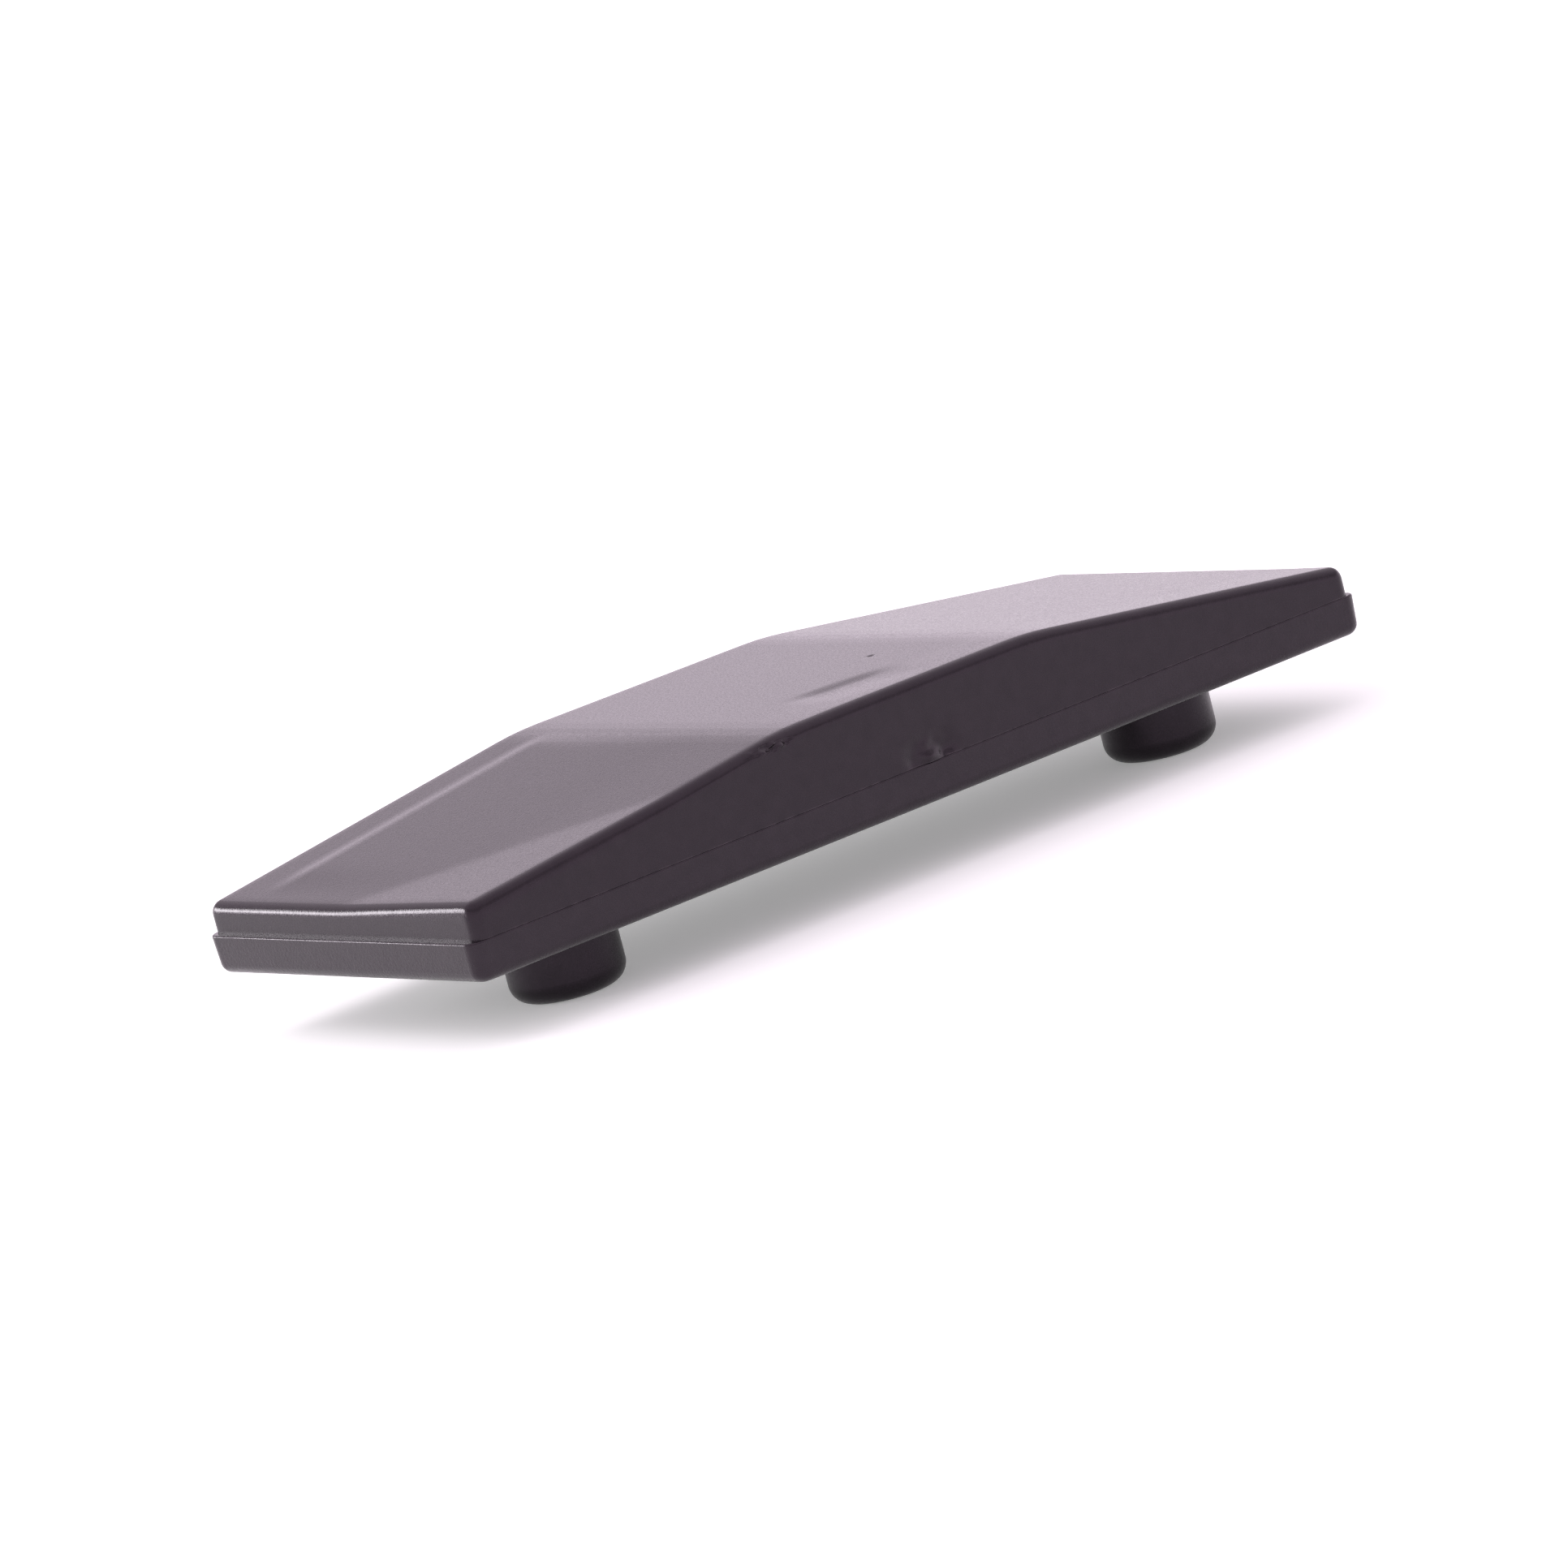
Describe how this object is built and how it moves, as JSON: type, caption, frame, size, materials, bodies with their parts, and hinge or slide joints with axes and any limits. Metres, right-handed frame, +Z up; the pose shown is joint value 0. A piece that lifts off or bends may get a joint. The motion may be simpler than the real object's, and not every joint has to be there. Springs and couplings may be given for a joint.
{
  "type": "raised pavement marker",
  "caption": "Low dark plastic road marker with an arched three-facet top, vertical sides and round anchor pegs underneath.",
  "frame": {"origin": "centre of the flat underside, on the road surface", "axes": "+X along the marker, +Y across it towards the side away from the pegs, +Z up"},
  "size_m": [0.2264, 0.095, 0.0387],
  "materials": {
    "cover_plastic": "satin, dark warm grey",
    "base_plastic": "fine matt, dark warm grey",
    "peg_plastic": "matt, near black",
    "seal_rubber": "matt black",
    "filler": "rough cast filler",
    "zinc_steel": "zinc plated",
    "brass": "turned"
  },
  "bodies": {
    "root": {"top_cover": "cover_plastic", "base_tray": "base_plastic", "perimeter_seal": "seal_rubber", "left_core": "filler", "centre_core": "filler", "right_core": "filler", "left_anchor_peg": "peg_plastic", "left_peg_washer": "zinc_steel", "left_peg_bolt": "zinc_steel", "left_boss_insert": "brass", "right_anchor_peg": "peg_plastic", "right_peg_washer": "zinc_steel", "right_peg_bolt": "zinc_steel", "right_boss_insert": "brass", "case_screw_1": "zinc_steel", "case_screw_2": "zinc_steel", "case_screw_3": "zinc_steel", "case_screw_4": "zinc_steel", "case_screw_5": "zinc_steel", "case_screw_6": "zinc_steel"}
  },
  "joints": []
}
